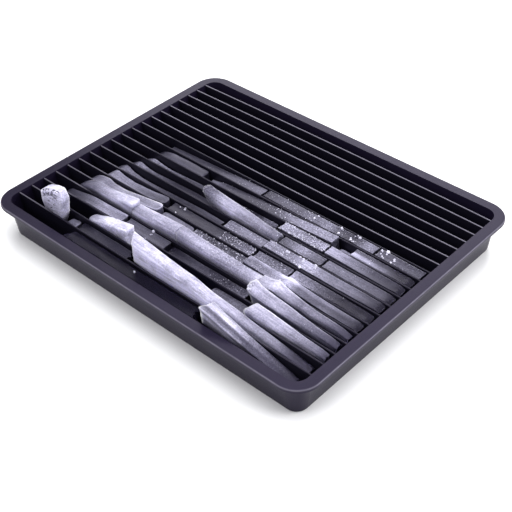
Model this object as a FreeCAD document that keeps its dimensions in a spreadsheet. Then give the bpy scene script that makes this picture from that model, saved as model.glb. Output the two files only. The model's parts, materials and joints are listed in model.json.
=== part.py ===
import FreeCAD, Part
import math
import os
import re

from FreeCAD import Placement, Rotation, Vector
from Sketcher import Constraint

# Ice tray with upright dividers and the snapped bars of ice in it, in millimetres.
# The underside lies on z = 0 and the origin is at its centre. X runs along the dividers,
# from the bare ends on the left to the full troughs on the right, and Y runs from the front
# trough to the back one.

document = FreeCAD.newDocument("ice_tray")
sheet = document.addObject("Spreadsheet::Sheet", "dimensions")

DRIVING = (
    ("rim_length", 277.0, "outside of the rim along the dividers"),
    ("rim_width", 219.8, "outside of the rim across the dividers"),
    ("rim_corner", 17.0, "plan radius of the rim's corners"),
    ("tray_height", 27.5, "underside to the top of the rim"),
    ("rim_thick", 2.2, "thickness of the flat rim"),
    ("rim_round", 1.2, "radius along the rim's outer top edge"),
    ("mouth_length", 261.2, "opening inside the rim, along the dividers"),
    ("mouth_width", 204.6, "opening inside the rim, across the dividers"),
    ("mouth_corner", 8.5, "plan radius of the opening's corners"),
    ("wall_draft", 3.5, "how far the inner wall leans in from rim to floor"),
    ("rim_overhang", 5.7, "rim beyond the outer wall, at the rim"),
    ("outer_draft", 3.0, "how far the outer wall leans in from rim to underside"),
    ("floor_thick", 2.2, "thickness of the floor"),
    ("base_round", 1.4, "radius along the bottom edge"),
    ("divider_count", 19, "upright dividers"),
    ("divider_drop", 0.4, "divider tops below the rim"),
    ("divider_tip", 1.1, "divider thickness at its top"),
    ("divider_root", 1.7, "divider thickness at the floor"),
    ("divider_ease", 0.3, "how far the divider's top edges are eased off"),
    ("first_divider", 92.9, "rearmost divider from the middle of the tray"),
    ("back_pitch", 9.554, "spacing of the two rearmost dividers"),
    ("pitch_growth", 0.0753, "how much wider each trough is than the one behind it"),
    ("back_bow", 1.3, "how far the rearmost divider bows at mid length"),
    ("bow_step", 0.42, "how much less the next divider bows"),
    ("bowed_count", 7, "empty dividers that have taken a bow"),
    ("least_bow", 0.2, "a divider that bows less than this is straight"),
    ("ice_side_gap", 0.35, "ice to divider at the floor, each side"),
    ("ice_top_gap", 0.45, "ice to divider at the top, each side"),
    ("ice_rest_gap", 0.3, "loose ice above the floor"),
    ("ice_end", 129.3, "right hand end of the full bars"),
    ("ice_wall_lean", 2.1, "how much further out the front bars reach at their top"),
)

for row_number, (alias, value, note) in enumerate(DRIVING, 1):
    sheet.set(f"A{row_number}", alias)
    sheet.set(f"B{row_number}", str(value))
    sheet.set(f"C{row_number}", note)
    sheet.setAlias(f"B{row_number}", alias)
document.recompute()


def size(alias):
    return float(getattr(sheet, alias))


def cells(formula):
    """A formula in the names above, pointed at their cells."""
    aliases = "|".join(alias for alias, value, note in DRIVING)
    return re.sub(rf"\b({aliases})\b", r"dimensions.\1", formula)


def new_body(label):
    body = document.addObject("PartDesign::Body", label)
    body.Label = label
    return body


def sketch_on(body, name, role, offset=None):
    """An empty outline in one of the body's own planes, raised by a formula."""
    sketch = body.newObject("Sketcher::SketchObject", name)
    plane = next(f for f in body.Origin.OriginFeatures if f.Role == role)
    sketch.AttachmentSupport = [(plane, "")]
    sketch.MapMode = "FlatFace"
    if offset:
        sketch.setExpression("AttachmentOffset.Base.z", cells(offset))
    return sketch


def dimension(sketch, constraint, formula):
    sketch.setExpression(f"Constraints[{constraint}]", cells(formula))


# Tray shell

START_HALF_LENGTH = 100.0
START_HALF_WIDTH = 80.0
START_CORNER = 10.0


def rounded_rectangle(sketch, length, width, corner):
    """A rectangle about the origin with four equal round corners, sized by formulas."""
    a, b, r = START_HALF_LENGTH, START_HALF_WIDTH, START_CORNER
    quarter = math.pi / 2
    centres = ((a - r, b - r), (r - a, b - r), (r - a, r - b), (a - r, r - b))
    sides = (
        ((r - a, b), (a - r, b)),
        ((-a, r - b), (-a, b - r)),
        ((a - r, -b), (r - a, -b)),
        ((a, b - r), (a, r - b)),
    )
    for (x1, y1), (x2, y2) in sides:
        sketch.addGeometry(Part.LineSegment(Vector(x1, y1, 0), Vector(x2, y2, 0)))
    for turn, (x, y) in enumerate(centres):
        circle = Part.Circle(Vector(x, y, 0), Vector(0, 0, 1), r)
        sketch.addGeometry(Part.ArcOfCircle(circle, turn * quarter, (turn + 1) * quarter))
    top, left, bottom, right = 0, 1, 2, 3
    joints = (
        (4, 1, right, 1), (4, 2, top, 2), (5, 1, top, 1), (5, 2, left, 2),
        (6, 1, left, 1), (6, 2, bottom, 2), (7, 1, bottom, 1), (7, 2, right, 2),
    )
    for arc, arc_end, line, line_end in joints:
        sketch.addConstraint(Constraint("Tangent", arc, arc_end, line, line_end))
    for line in (top, bottom):
        sketch.addConstraint(Constraint("Horizontal", line))
    for line in (left, right):
        sketch.addConstraint(Constraint("Vertical", line))
    for arc in (5, 6, 7):
        sketch.addConstraint(Constraint("Equal", 4, arc))
    sketch.addConstraint(Constraint("Symmetric", 4, 3, 6, 3, -1, 1))
    radius = sketch.addConstraint(Constraint("Radius", 4, r))
    along = sketch.addConstraint(Constraint("Distance", left, 1, right, 2 * a))
    across = sketch.addConstraint(Constraint("Distance", bottom, 1, top, 2 * b))
    dimension(sketch, radius, corner)
    dimension(sketch, along, length)
    dimension(sketch, across, width)


def edges_where(feature, wanted):
    return [
        f"Edge{number}"
        for number, edge in enumerate(feature.Shape.Edges, 1)
        if wanted(edge.BoundBox)
    ]


def round_edges(body, feature, name, radius, wanted):
    document.recompute()
    fillet = body.newObject("PartDesign::Fillet", name)
    fillet.Base = (feature, edges_where(feature, wanted))
    fillet.setExpression("Radius", cells(radius))
    feature.Visibility = False
    return fillet


def at_height(level):
    return lambda box: abs(box.ZMin - level) < 0.01 and abs(box.ZMax - level) < 0.01


def past_mouth(box):
    """Whether an edge reaches further out than the opening inside the rim."""
    along = max(-box.XMin, box.XMax) - size("mouth_length") / 2
    across = max(-box.YMin, box.YMax) - size("mouth_width") / 2
    return max(along, across) > size("rim_round")


def tray_shell():
    body = new_body("tray_shell")
    under_rim = "tray_height - rim_thick"

    base = sketch_on(body, "base_outline", "XY_Plane")
    inset = "(rim_overhang + outer_draft)"
    rounded_rectangle(
        base,
        f"rim_length - 2 * {inset}",
        f"rim_width - 2 * {inset}",
        f"rim_corner - {inset}",
    )
    shoulder = sketch_on(body, "shoulder_outline", "XY_Plane", under_rim)
    rounded_rectangle(
        shoulder,
        "rim_length - 2 * rim_overhang",
        "rim_width - 2 * rim_overhang",
        "rim_corner - rim_overhang",
    )
    walls = body.newObject("PartDesign::AdditiveLoft", "outer_walls")
    walls.Profile = base
    walls.Sections = [shoulder]
    walls.Ruled = True

    rim_outline = sketch_on(body, "rim_outline", "XY_Plane", under_rim)
    rounded_rectangle(rim_outline, "rim_length", "rim_width", "rim_corner")
    rim = body.newObject("PartDesign::Pad", "rim")
    rim.Profile = rim_outline
    rim.setExpression("Length", cells("rim_thick"))

    mouth = sketch_on(body, "mouth_outline", "XY_Plane", "tray_height")
    rounded_rectangle(mouth, "mouth_length", "mouth_width", "mouth_corner")
    floor = sketch_on(body, "floor_outline", "XY_Plane", "floor_thick")
    rounded_rectangle(
        floor,
        "mouth_length - 2 * wall_draft",
        "mouth_width - 2 * wall_draft",
        "mouth_corner - wall_draft",
    )
    hollow = body.newObject("PartDesign::SubtractiveLoft", "hollow")
    hollow.Profile = mouth
    hollow.Sections = [floor]
    hollow.Ruled = True

    on_top = at_height(size("tray_height"))
    outer_top = round_edges(
        body, hollow, "rim_edge", "rim_round", lambda box: on_top(box) and past_mouth(box)
    )
    round_edges(body, outer_top, "base_edge", "base_round", at_height(0.0))
    return body


# Dividers

def divider_place(number):
    """Where divider number stands across the tray, counted from the back, as a formula."""
    gaps = number - 1
    growth = gaps * (number - 2) / 2
    return f"first_divider - {gaps} * back_pitch - {growth} * pitch_growth"


def divider_y(number):
    gaps = number - 1
    growth = gaps * (number - 2) / 2
    return size("first_divider") - gaps * size("back_pitch") - growth * size("pitch_growth")


def divider_bow(number):
    """How far the divider's middle stands towards the back of its ends, if that is enough to show."""
    bow = size("back_bow") - (number - 1) * size("bow_step")
    shows = number <= size("bowed_count") and abs(bow) > size("least_bow")
    return bow if shows else 0.0


def straight_section(sketch, length, thickness):
    """A long rectangle about the origin."""
    a, w = 100.0, 1.0
    corners = ((-a, -w), (a, -w), (a, w), (-a, w))
    for (x1, y1), (x2, y2) in zip(corners, corners[1:] + corners[:1]):
        sketch.addGeometry(Part.LineSegment(Vector(x1, y1, 0), Vector(x2, y2, 0)))
    for line in range(4):
        sketch.addConstraint(Constraint("Coincident", line, 2, (line + 1) % 4, 1))
    for line, way in ((0, "Horizontal"), (1, "Vertical"), (2, "Horizontal"), (3, "Vertical")):
        sketch.addConstraint(Constraint(way, line))
    sketch.addConstraint(Constraint("Symmetric", 0, 1, 2, 1, -1, 1))
    along = sketch.addConstraint(Constraint("DistanceX", 0, 1, 0, 2, 2 * a))
    across = sketch.addConstraint(Constraint("DistanceY", 1, 1, 1, 2, 2 * w))
    dimension(sketch, along, length)
    dimension(sketch, across, thickness)


def bowed_section(sketch, length, thickness, bow, formula):
    """A long strip between two equal arcs, whose middle stands off its ends by the bow."""
    a, w = 128.0, 0.8
    radius = (a * a + bow * bow) / (2 * abs(bow))
    half_turn = math.asin(a / radius)
    middle = math.copysign(math.pi / 2, bow)
    below = math.copysign(radius, bow)

    def side(y):
        circle = Part.Circle(Vector(0, y + bow - below, 0), Vector(0, 0, 1), radius)
        return Part.ArcOfCircle(circle, middle - half_turn, middle + half_turn)

    sketch.addGeometry(side(-w))
    sketch.addGeometry(Part.LineSegment(Vector(a, -w, 0), Vector(a, w, 0)))
    sketch.addGeometry(side(w))
    sketch.addGeometry(Part.LineSegment(Vector(-a, w, 0), Vector(-a, -w, 0)))
    # An arc runs anticlockwise, so one that bulges to the back starts at its right end.
    left_end, right_end = (2, 1) if bow > 0 else (1, 2)
    for arc, line, line_end, arc_end in (
        (0, 1, 1, right_end), (2, 1, 2, right_end), (2, 3, 1, left_end), (0, 3, 2, left_end),
    ):
        sketch.addConstraint(Constraint("Coincident", arc, arc_end, line, line_end))
    sketch.addConstraint(Constraint("Vertical", 1))
    sketch.addConstraint(Constraint("Vertical", 3))
    sketch.addConstraint(Constraint("Symmetric", 3, 1, 1, 1, -1, 1))
    for arc in (0, 2):
        dimension(sketch, sketch.addConstraint(Constraint("Radius", arc, radius)), formula)
    along = sketch.addConstraint(Constraint("DistanceX", 3, 1, 1, 2, 2 * a))
    across = sketch.addConstraint(Constraint("DistanceY", 1, 1, 1, 2, 2 * w))
    dimension(sketch, along, length)
    dimension(sketch, across, thickness)


def divider(number):
    """One soft upright blade, from end wall to end wall, that thins from its root to its eased crest."""
    body = new_body(f"divider_{number:02d}")
    bow = divider_bow(number)
    off = f"(back_bow - {number - 1} * bow_step)"
    lean = "wall_draft / (tray_height - floor_thick)"
    sections = []
    for name, below_rim, thickness in (
        ("root", "(tray_height - floor_thick)", "divider_root"),
        ("shoulder", "(divider_drop + divider_ease)", "divider_tip"),
        ("crest", "divider_drop", "divider_tip - 2 * divider_ease"),
    ):
        sketch = sketch_on(body, f"{name}_{number:02d}", "XY_Plane", f"tray_height - {below_rim}")
        length = f"(mouth_length - 2 * {below_rim} * {lean})"
        if bow == 0.0:
            straight_section(sketch, length, thickness)
        else:
            radius = f"(({length} / 2)^2 + {off}^2) / abs(2 * {off})"
            bowed_section(sketch, length, thickness, bow, radius)
        sections.append(sketch)
    blade = body.newObject("PartDesign::AdditiveLoft", f"blade_{number:02d}")
    blade.Profile = sections[0]
    blade.Sections = sections[1:]
    blade.Ruled = True
    body.setExpression("Placement.Base.y", cells(divider_place(number)))
    return body


# Ice bars
# Each trough freezes one long bar, which snaps into lengths when the tray is flexed. A length
# is as wide as its trough less a melt gap, narrower at the floor, and broken square or askew
# at its ends. A loose one stands with one end still in the trough and the other end raised.


def trough_sides(row):
    """Across the tray: low and high side of a bar of this row, at the floor and at its top."""
    root = size("divider_root") / 2 + size("ice_side_gap")
    tip = size("divider_tip") / 2 + size("ice_top_gap")
    back = divider_y(row - 1)
    if row <= size("divider_count"):
        front = divider_y(row)
        return (front + root, back - root), (front + tip, back - tip)
    wall = -size("mouth_width") / 2 + size("ice_side_gap")
    low = wall + size("wall_draft")
    return (low, back - root), (low - size("ice_wall_lean"), back - tip)


def snapped_bar(label, row, left, right, skew=(0.0, 0.0), loose=False, depth=None):
    """A length of bar from its top corners, left and right, each an (x, z).

    The ends are upright, and skew shortens the underside at the left and the right end.
    The lowest bottom corner rests on the floor, or just above it where the bar is loose.
    """
    (x1, z1), (x2, z2) = left, right
    slope = math.atan2(z2 - z1, x2 - x1)
    length = math.hypot(x2 - x1, z2 - z1)
    rise, run = math.sin(slope), math.cos(slope)
    if depth is None:
        level = size("floor_thick") + (size("ice_rest_gap") if loose else 0.0)
        lowest = min(skew[0] * rise, (length - skew[1]) * rise)
        depth = run * (z1 + lowest - level)
    else:
        depth = depth * run
    upright = depth * math.tan(slope)
    (low, high), (top_low, top_high) = trough_sides(row)
    middle = (low + high) / 2
    bar = document.addObject("Part::Wedge", label)
    bar.Label = label
    bar.Ymin, bar.Ymax = 0.0, depth
    bar.Xmin, bar.Xmax = skew[0] - upright, length - skew[1] - upright
    bar.X2min, bar.X2max = 0.0, length
    bar.Zmin, bar.Zmax = middle - high, middle - low
    bar.Z2min, bar.Z2max = middle - top_high, middle - top_low
    turn = Rotation(Vector(0, 1, 0), -math.degrees(slope)) * Rotation(Vector(1, 0, 0), 90)
    corner = Vector(x1 + depth * rise, middle, z1 - depth * run)
    bar.Placement = Placement(corner, turn)
    return bar


END = size("ice_end")
SQUARE = (0.0, 0.0)
TO_WALL = (0.0, size("wall_draft"))

SEATED_BARS = (
    ("ice_09_left", 9, (-96.0, 21.5), (-3.0, 26.6), (0.0, 3.0)),
    ("ice_09_middle", 9, (-1.5, 27.4), (92.5, 27.4), (-1.5, 0.0)),
    ("ice_09_right", 9, (93.2, 27.4), (END, 26.6), TO_WALL),
    ("ice_10_left", 10, (-95.0, 23.0), (-50.0, 26.0), (0.0, -2.0)),
    ("ice_10_middle", 10, (-47.0, 22.8), (67.5, 29.5), (0.0, -2.5)),
    ("ice_10_right", 10, (81.0, 27.4), (END, 26.4), TO_WALL),
    ("ice_11_left", 11, (-99.0, 22.5), (25.0, 23.0), SQUARE),
    ("ice_11_middle", 11, (30.0, 28.8), (68.0, 28.8), SQUARE),
    ("ice_11_right", 11, (69.0, 29.2), (END, 27.0), TO_WALL),
    ("ice_12_left", 12, (-104.0, 23.6), (-21.0, 22.4), SQUARE),
    ("ice_12_middle", 12, (39.0, 27.3), (74.0, 27.3), SQUARE),
    ("ice_12_right", 12, (75.0, 27.4), (END, 26.6), TO_WALL),
    ("ice_13_left", 13, (-103.0, 24.9), (-5.0, 22.2), SQUARE),
    ("ice_13_middle", 13, (-1.0, 26.8), (34.3, 26.8), (5.0, 0.0)),
    ("ice_13_right", 13, (35.0, 28.9), (END, 27.4), TO_WALL),
    ("ice_14_left", 14, (-103.0, 26.4), (-45.5, 29.3), SQUARE),
    ("ice_14_middle", 14, (-42.5, 26.4), (33.5, 25.8), SQUARE),
    ("ice_14_inner", 14, (35.0, 25.8), (64.5, 26.2), SQUARE),
    ("ice_14_right", 14, (65.5, 27.0), (END, 26.2), TO_WALL),
    ("ice_15_middle", 15, (-12.0, 26.0), (36.0, 26.0), SQUARE),
    ("ice_15_right", 15, (37.0, 30.4), (END, 26.7), TO_WALL),
    ("ice_17_left", 17, (-113.0, 25.5), (-53.0, 27.9), SQUARE),
    ("ice_17_middle", 17, (-52.0, 26.5), (-13.0, 26.5), SQUARE),
    ("ice_17_inner", 17, (-12.0, 24.0), (57.0, 24.0), SQUARE),
    ("ice_19_dark", 19, (-76.0, 24.0), (-24.0, 24.5), SQUARE),
    ("ice_20_dark", 20, (-76.0, 25.4), (48.0, 25.4), SQUARE),
)

LOOSE_BARS = (
    ("shard_12", 12, (-30.6, 36.6), (38.0, 28.1), (27.0, 0.0), None),
    ("shard_15_left", 15, (-106.0, 27.4), (-39.8, 31.2), SQUARE, None),
    ("shard_16_left", 16, (-105.0, 29.0), (-51.0, 36.5), (0.0, 2.0), None),
    ("shard_16_middle", 16, (-50.0, 32.8), (-12.5, 35.4), SQUARE, None),
    ("shard_16_inner", 16, (-11.5, 35.0), (56.5, 31.3), SQUARE, None),
    ("shard_16_right", 16, (57.5, 33.9), (END - 1.0, 26.2), TO_WALL, None),
    ("shard_17_right", 17, (59.7, 34.7), (END - 0.7, 26.8), (9.0, TO_WALL[1]), None),
    ("shard_18_left", 18, (-76.0, 27.4), (-34.9, 36.2), SQUARE, None),
    ("shard_18_right", 18, (68.1, 32.1), (END - 0.3, 27.2), TO_WALL, None),
    ("long_shard", 19, (-21.0, 44.4), (126.0, 22.0), SQUARE, 18.9),
    ("front_shard", 20, (53.0, 38.4), (124.0, 19.6), (0.0, 5.0), 16.2),
)

CHIPS = (
    (10, (71.5, 21.5), (80.0, 21.0)),
    (15, (-38.5, 26.0), (-13.0, 26.0)),
    (18, (38.0, 24.6), (65.0, 25.2)),
    (19, (-84.0, 22.5), (-77.5, 23.5)),
)


def ice_chips():
    """The four short bits that lie between the bars, kept as one group of separate solids."""
    bits = [
        snapped_bar(f"chip_{number}", row, left, right)
        for number, (row, left, right) in enumerate(CHIPS, 1)
    ]
    group = document.addObject("Part::Compound", "ice_chips")
    group.Label = "ice_chips"
    group.Links = bits
    return group


def ice_lump():
    """A bar end that has tipped up on its broken corner, high over the front left of the tray."""
    body = new_body("ice_lump")
    outline = (
        (-101.0, 8.0), (-96.0, 6.0), (-93.5, 14.0), (-88.0, 27.0), (-86.0, 39.4), (-89.2, 46.1),
        (-95.5, 45.1), (-104.6, 41.5), (-108.5, 39.0), (-108.3, 30.6), (-105.0, 22.0),
    )
    sketch = body.newObject("Sketcher::SketchObject", "lump_outline")
    plane = next(f for f in body.Origin.OriginFeatures if f.Role == "XZ_Plane")
    sketch.AttachmentSupport = [(plane, "")]
    sketch.MapMode = "FlatFace"
    for (x1, z1), (x2, z2) in zip(outline, outline[1:] + outline[:1]):
        sketch.addGeometry(Part.LineSegment(Vector(x1, z1, 0), Vector(x2, z2, 0)))
    for line in range(len(outline)):
        sketch.addConstraint(Constraint("Coincident", line, 2, (line + 1) % len(outline), 1))
    slab = body.newObject("PartDesign::Pad", "lump")
    slab.Profile = sketch
    slab.Midplane = True
    low, high = trough_sides(19)[0]
    slab.Length = high - low
    body.Placement = Placement(Vector(0, (low + high) / 2, 0), Rotation())
    return body


nodes = [tray_shell()]
nodes += [divider(number) for number in range(1, int(size("divider_count")) + 1)]
nodes += [snapped_bar(*place) for place in SEATED_BARS]
nodes += [
    snapped_bar(label, row, left, right, skew, True, depth)
    for label, row, left, right, skew, depth in LOOSE_BARS
]
nodes += [ice_lump(), ice_chips()]
document.recompute()

# Every object has to have worked out, and every solid has to be whole, before anything is written.

for thing in document.Objects:
    if "Invalid" in thing.State or "Error" in thing.State:
        raise RuntimeError(f"{thing.Label} failed: {thing.State}")
for node in nodes:
    if node.Shape.isNull() or not node.Shape.isValid():
        raise RuntimeError(f"{node.Label} is not a valid solid")

os.makedirs("parts", exist_ok=True)
for node in nodes:
    node.Shape.exportStep(f"parts/{node.Label}.step")
    print(node.Label, len(node.Shape.Solids), round(node.Shape.Volume))
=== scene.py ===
import json
import math

import bmesh
import bpy
import numpy as np
from mathutils import Euler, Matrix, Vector

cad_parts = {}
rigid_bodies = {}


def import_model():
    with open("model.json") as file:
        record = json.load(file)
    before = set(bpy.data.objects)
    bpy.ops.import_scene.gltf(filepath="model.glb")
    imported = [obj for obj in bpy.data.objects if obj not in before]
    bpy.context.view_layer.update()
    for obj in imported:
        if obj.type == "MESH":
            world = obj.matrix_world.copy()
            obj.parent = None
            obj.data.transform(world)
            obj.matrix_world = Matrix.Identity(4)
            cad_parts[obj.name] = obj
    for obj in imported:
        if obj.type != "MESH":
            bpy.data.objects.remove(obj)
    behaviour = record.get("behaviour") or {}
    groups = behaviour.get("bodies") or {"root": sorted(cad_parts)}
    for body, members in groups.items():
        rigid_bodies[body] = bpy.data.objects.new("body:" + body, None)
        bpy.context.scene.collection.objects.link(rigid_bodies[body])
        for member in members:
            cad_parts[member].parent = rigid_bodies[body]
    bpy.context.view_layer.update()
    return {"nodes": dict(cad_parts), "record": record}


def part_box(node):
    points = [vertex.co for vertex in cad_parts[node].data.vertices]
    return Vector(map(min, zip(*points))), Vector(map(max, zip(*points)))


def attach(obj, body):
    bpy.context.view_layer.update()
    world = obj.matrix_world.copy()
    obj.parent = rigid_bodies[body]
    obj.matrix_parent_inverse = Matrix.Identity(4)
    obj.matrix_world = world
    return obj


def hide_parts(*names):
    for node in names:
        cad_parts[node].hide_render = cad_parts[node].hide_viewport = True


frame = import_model()

# Camera
# A long lens at the front right, about 45 degrees above the table, as in the photograph. Its
# place and its slight roll were solved from the rim's edges and corners in the picture.

scene = bpy.context.scene
scene.view_settings.view_transform = "Standard"
camera = bpy.data.objects.new("camera", bpy.data.cameras.new("camera"))
camera.data.lens = 75.64
camera.data.sensor_width = 36.0
camera.data.clip_start = 0.05
camera.location = (0.3933, -0.4156, 0.4687)
camera.rotation_euler = Euler([math.radians(turn) for turn in (49.708, 1.049, 42.132)])
scene.collection.objects.link(camera)
scene.camera = camera

# Floor and light
# A white studio table under a big soft box, with two low strips that draw the bright line along
# the tray's rounded edges and the crests of the dividers. Every light faces the middle of the tray.

TABLE_HALF = 4.0
floor_mesh = bpy.data.meshes.new("floor")
floor_mesh.from_pydata(
    [
        (-TABLE_HALF, -TABLE_HALF, 0),
        (TABLE_HALF, -TABLE_HALF, 0),
        (TABLE_HALF, TABLE_HALF, 0),
        (-TABLE_HALF, TABLE_HALF, 0),
    ],
    [],
    [(0, 1, 2, 3)],
)
floor = bpy.data.objects.new("floor", floor_mesh)
scene.collection.objects.link(floor)
floor_paint = bpy.data.materials.new("white table")
floor_paint.use_nodes = True
floor_shader = floor_paint.node_tree.nodes["Principled BSDF"]
floor_shader.inputs["Base Color"].default_value = (0.93, 0.93, 0.94, 1)
floor_shader.inputs["Roughness"].default_value = 0.35
floor_mesh.materials.append(floor_paint)

world = bpy.data.worlds.new("studio")
world.use_nodes = True
world.node_tree.nodes["Background"].inputs["Color"].default_value = (0.97, 0.97, 1.0, 1)
world.node_tree.nodes["Background"].inputs["Strength"].default_value = 0.55
scene.world = world


def soft_light(name, place, width, height, power):
    """A flat studio light at a place, facing the middle of the tray."""
    lamp = bpy.data.lights.new(name, "AREA")
    lamp.shape = "RECTANGLE"
    lamp.size = width
    lamp.size_y = height
    lamp.energy = power
    light = bpy.data.objects.new(name, lamp)
    light.location = place
    light.rotation_euler = (-Vector(place)).to_track_quat("-Z", "Y").to_euler()
    scene.collection.objects.link(light)


soft_light("key_box", (0.05, 0.03, 1.35), 1.2, 1.2, 20.0)
soft_light("back_box", (-0.74, 1.06, 0.93), 1.0, 0.6, 8.2)
soft_light("front_fill", (-0.5, -1.1, 0.8), 0.7, 0.7, 3.5)
soft_light("left_strip", (-0.75, -0.95, 0.8), 1.0, 0.05, 2.2)
soft_light("right_strip", (0.95, 0.8, 0.75), 1.0, 0.06, 13.0)

# Tray shell
# The tray is one moulding of charcoal silicone rubber with a faint violet cast. The mould left a
# fine satin grain, and a painted highlight lightens the rounded outer edge of the rim.

RIM_CORNER = 0.017
RIM_ROUND = 0.0012
# The colour of the painted highlights on the rim's outer edge and on the dividers' crests.
HIGHLIGHT_TONE = (0.125, 0.118, 0.15)


class Term:
    """A shader socket that adds Math nodes when it stands in an expression."""

    def __init__(self, tree, socket):
        self.tree = tree
        self.socket = socket

    def _math(self, operation, first, second):
        node = self.tree.nodes.new("ShaderNodeMath")
        node.operation = operation
        for place, value in zip(node.inputs, (first, second)):
            if isinstance(value, Term):
                self.tree.links.new(value.socket, place)
            else:
                place.default_value = value
        return Term(self.tree, node.outputs[0])

    def __add__(self, other):
        return self._math("ADD", self, other)

    __radd__ = __add__

    def __sub__(self, other):
        return self._math("SUBTRACT", self, other)

    def __rsub__(self, other):
        return self._math("SUBTRACT", other, self)

    def __mul__(self, other):
        return self._math("MULTIPLY", self, other)

    __rmul__ = __mul__

    def __truediv__(self, other):
        return self._math("DIVIDE", self, other)

    def __pow__(self, other):
        return self._math("POWER", self, other)

    def least(self, other):
        return self._math("MINIMUM", self, other)

    def most(self, other):
        return self._math("MAXIMUM", self, other)

    def limited(self):
        return self.most(0.0).least(1.0)

    def size(self):
        return self._math("ABSOLUTE", self, 0.0)


class Finish:
    """One material: its nodes, its Principled shader and a place to read patterns from."""

    def __init__(self, name):
        self.material = bpy.data.materials.new(name)
        self.material.use_nodes = True
        self.tree = self.material.node_tree
        self.shader = self.tree.nodes["Principled BSDF"]
        self.place = self.node("ShaderNodeTexCoord", "Object")

    def node(self, kind, output=0, settings=None, inputs=None):
        """A node with its settings made first, then the values or links of its sockets."""
        node = self.tree.nodes.new(kind)
        for name, value in (settings or {}).items():
            setattr(node, name, value)
        self.feed(node, inputs or {})
        return Term(self.tree, node.outputs[output])

    def feed(self, node, inputs):
        """Links or sets a node's sockets, and gives a plain colour its alpha."""
        for name, value in inputs.items():
            place = node.inputs[name]
            if isinstance(value, Term):
                self.tree.links.new(value.socket, place)
            elif place.type == "RGBA" and len(value) == 3:
                place.default_value = (*value, 1)
            else:
                place.default_value = value

    def surface(self, **inputs):
        self.feed(self.shader, {name.replace("_", " "): value for name, value in inputs.items()})

    def along(self, axis):
        return self.node("ShaderNodeSeparateXYZ", axis, inputs={"Vector": self.place})

    def noise(self, scale, detail=3.0, rough=0.55, along=None):
        """Noise over the object, which may be drawn out differently along each axis."""
        where = self.place
        if along:
            where = self.node("ShaderNodeMapping", inputs={"Vector": self.place, "Scale": along})
        inputs = {"Vector": where, "Scale": scale, "Detail": detail, "Roughness": rough}
        return self.node("ShaderNodeTexNoise", "Fac", inputs=inputs)

    def mixed(self, share, first, second):
        """Between two colours by a share."""
        return self.node("ShaderNodeMix", 2, {"data_type": "RGBA"}, {0: share, 6: first, 7: second})

    def relief(self, height, depth, strength=1.0):
        inputs = {"Height": height, "Distance": depth, "Strength": strength}
        return self.node("ShaderNodeBump", "Normal", inputs=inputs)


def silicone(name, dark, light, shine, highlight_mask):
    """Charcoal silicone between two close tones, with grain, uneven satin and painted highlights.
    """
    finish = Finish(name)
    cloud = finish.noise(9.0, detail=4.0)
    grain = finish.noise(2600.0, detail=2.0)
    # A painted highlight: lighter colour and a little less roughness where the given mask lies.
    highlight_share = highlight_mask(finish) * (0.55 + 0.9 * finish.noise(160.0, detail=4.0))
    fresh = finish.mixed((cloud * 0.8 + grain * 0.2 - 0.15).limited(), dark, light)
    finish.surface(
        Base_Color=finish.mixed(highlight_share.limited(), fresh, HIGHLIGHT_TONE),
        Roughness=shine + cloud * 0.12 + grain * 0.05 - highlight_share * 0.08,
        Normal=finish.relief(grain, 0.00004),
    )
    finish.shader.inputs["Specular Tint"].default_value = (0.76, 0.68, 1.0, 1)
    finish.shader.inputs["Specular IOR Level"].default_value = 0.20
    return finish.material


_, shell_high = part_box("tray_shell")


def rim_edge_highlight(finish):
    """One where a highlight is painted on the rim's rounded edge, falling to nothing beside it."""
    past_x = finish.along("X").size() - (shell_high[0] - RIM_CORNER)
    past_y = finish.along("Y").size() - (shell_high[1] - RIM_CORNER)
    round_corner = (past_x.most(0.0) ** 2.0 + past_y.most(0.0) ** 2.0) ** 0.5
    inside = RIM_CORNER - (round_corner + past_x.most(past_y).least(0.0))
    below = shell_high[2] - finish.along("Z")
    on_edge = (1.35 * RIM_ROUND - inside - below).most(0.0) / (0.4 * RIM_ROUND)
    centred = 1.0 - (below - inside).size() / (0.9 * RIM_ROUND)
    return (on_edge.least(1.0) * centred).limited()


shell_finish = silicone(
    "charcoal silicone", (0.007, 0.005, 0.014), (0.013, 0.010, 0.026), 0.24, rim_edge_highlight
)
frame["nodes"]["tray_shell"].data.materials.clear()
frame["nodes"]["tray_shell"].data.materials.append(shell_finish)

# Dividers
# Nineteen thin blades of the same rubber, moulded with the shell. Where no ice lies beside them
# a highlight is painted along their crests, and the rest of each blade is painted darker than the
# shell, as shade in its narrow trough.

CREST_LEVEL = 0.0268
CREST_BLEND = 0.0002
EMPTY_ROWS = 7
ICE_STARTS = -0.095
ICE_BLEND = 0.008
# Darker than the shell's tones: painted shade for blades deep in their narrow troughs.
SHADED_DIVIDER_TONES = ((0.005, 0.0045, 0.009), (0.010, 0.009, 0.017))
DIVIDER_SHINE = 0.28


def full_crest_highlight(finish):
    """One on a divider's crest, from end to end, where a highlight is painted."""
    return ((finish.along("Z") - CREST_LEVEL) / CREST_BLEND).limited()


def left_crest_highlight(finish):
    """A fainter painted highlight, only on the part of a crest that lies left of the ice."""
    return full_crest_highlight(finish) * ((ICE_STARTS - finish.along("X")) / ICE_BLEND).limited() * 0.6


empty_divider = silicone("divider silicone", *SHADED_DIVIDER_TONES, DIVIDER_SHINE, full_crest_highlight)
iced_divider = silicone("iced divider silicone", *SHADED_DIVIDER_TONES, DIVIDER_SHINE, left_crest_highlight)
for name, node in frame["nodes"].items():
    if name.startswith("divider_"):
        node.data.materials.clear()
        node.data.materials.append(empty_divider if int(name[-2:]) <= EMPTY_ROWS else iced_divider)

# Ice
# Each trough froze one long bar, which snapped into lengths when the tray was flexed. The ice is
# clear where it froze slowly and white where air came out of it, in streaks along the bar. Its
# white also carries painted highlights along the edges of the tops, and painted light and shade
# across the tops and down the sides.

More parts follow.
